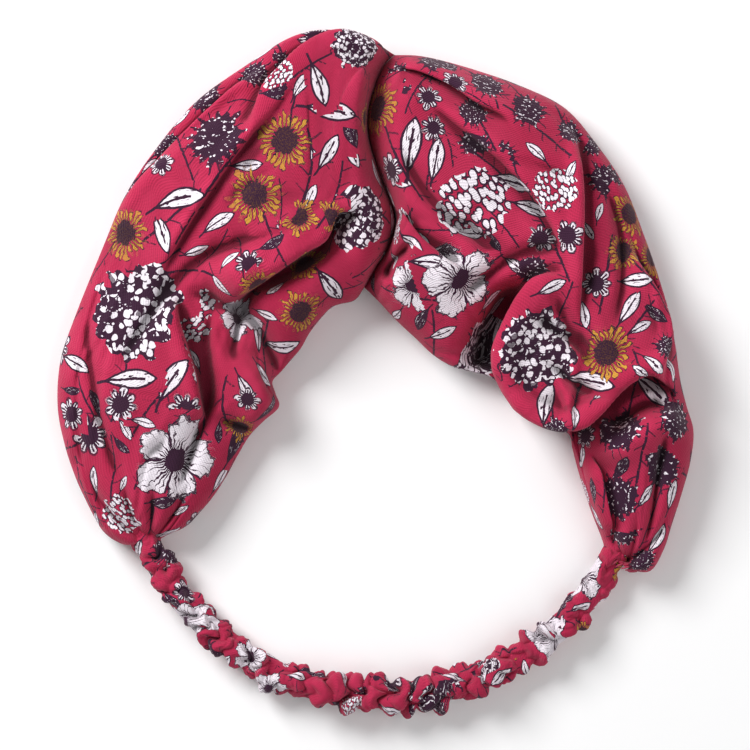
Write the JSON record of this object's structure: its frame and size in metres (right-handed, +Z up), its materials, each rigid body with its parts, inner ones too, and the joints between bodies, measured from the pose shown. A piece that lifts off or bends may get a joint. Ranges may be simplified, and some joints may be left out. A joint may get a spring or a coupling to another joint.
{
  "type": "knotted headband",
  "caption": "Wide stretch headband of printed jersey: two cloth bands looped through each other in a front knot, joined at the back by a ruched casing over a flat elastic.",
  "frame": {"origin": "under the middle of the bounding box, on the surface that the headband lies on", "axes": "+Z up through the ring, +Y from the elastic back towards the knot, +X towards the right band"},
  "size_m": [0.1884, 0.206, 0.027],
  "materials": {
    "band_jersey": "printed cotton jersey, matt with a slight fuzz",
    "casing_jersey": "printed cotton jersey, tightly ruched",
    "sewing_thread": "spun polyester thread",
    "knitted_elastic": "white knitted elastic"
  },
  "bodies": {
    "left_wing": {"left_band": "band_jersey", "left_band_seam": "sewing_thread", "left_join_stitches": "sewing_thread", "elastic_casing": "casing_jersey", "casing_seam": "sewing_thread", "elastic_strip": "knitted_elastic"},
    "right_wing": {"right_band": "band_jersey", "right_band_seam": "sewing_thread", "right_join_stitches": "sewing_thread"}
  },
  "joints": [
    {"name": "knot_stretch", "type": "hinge", "parent": "left_wing", "child": "right_wing", "pos_m": [0, 0.061, 0.0135], "axis": [0, 0, 1], "range_deg": [0, 30], "stiffness_Nm_per_rad": 0.5, "deforming": ["elastic_casing", "elastic_strip", "casing_seam"]}
  ]
}
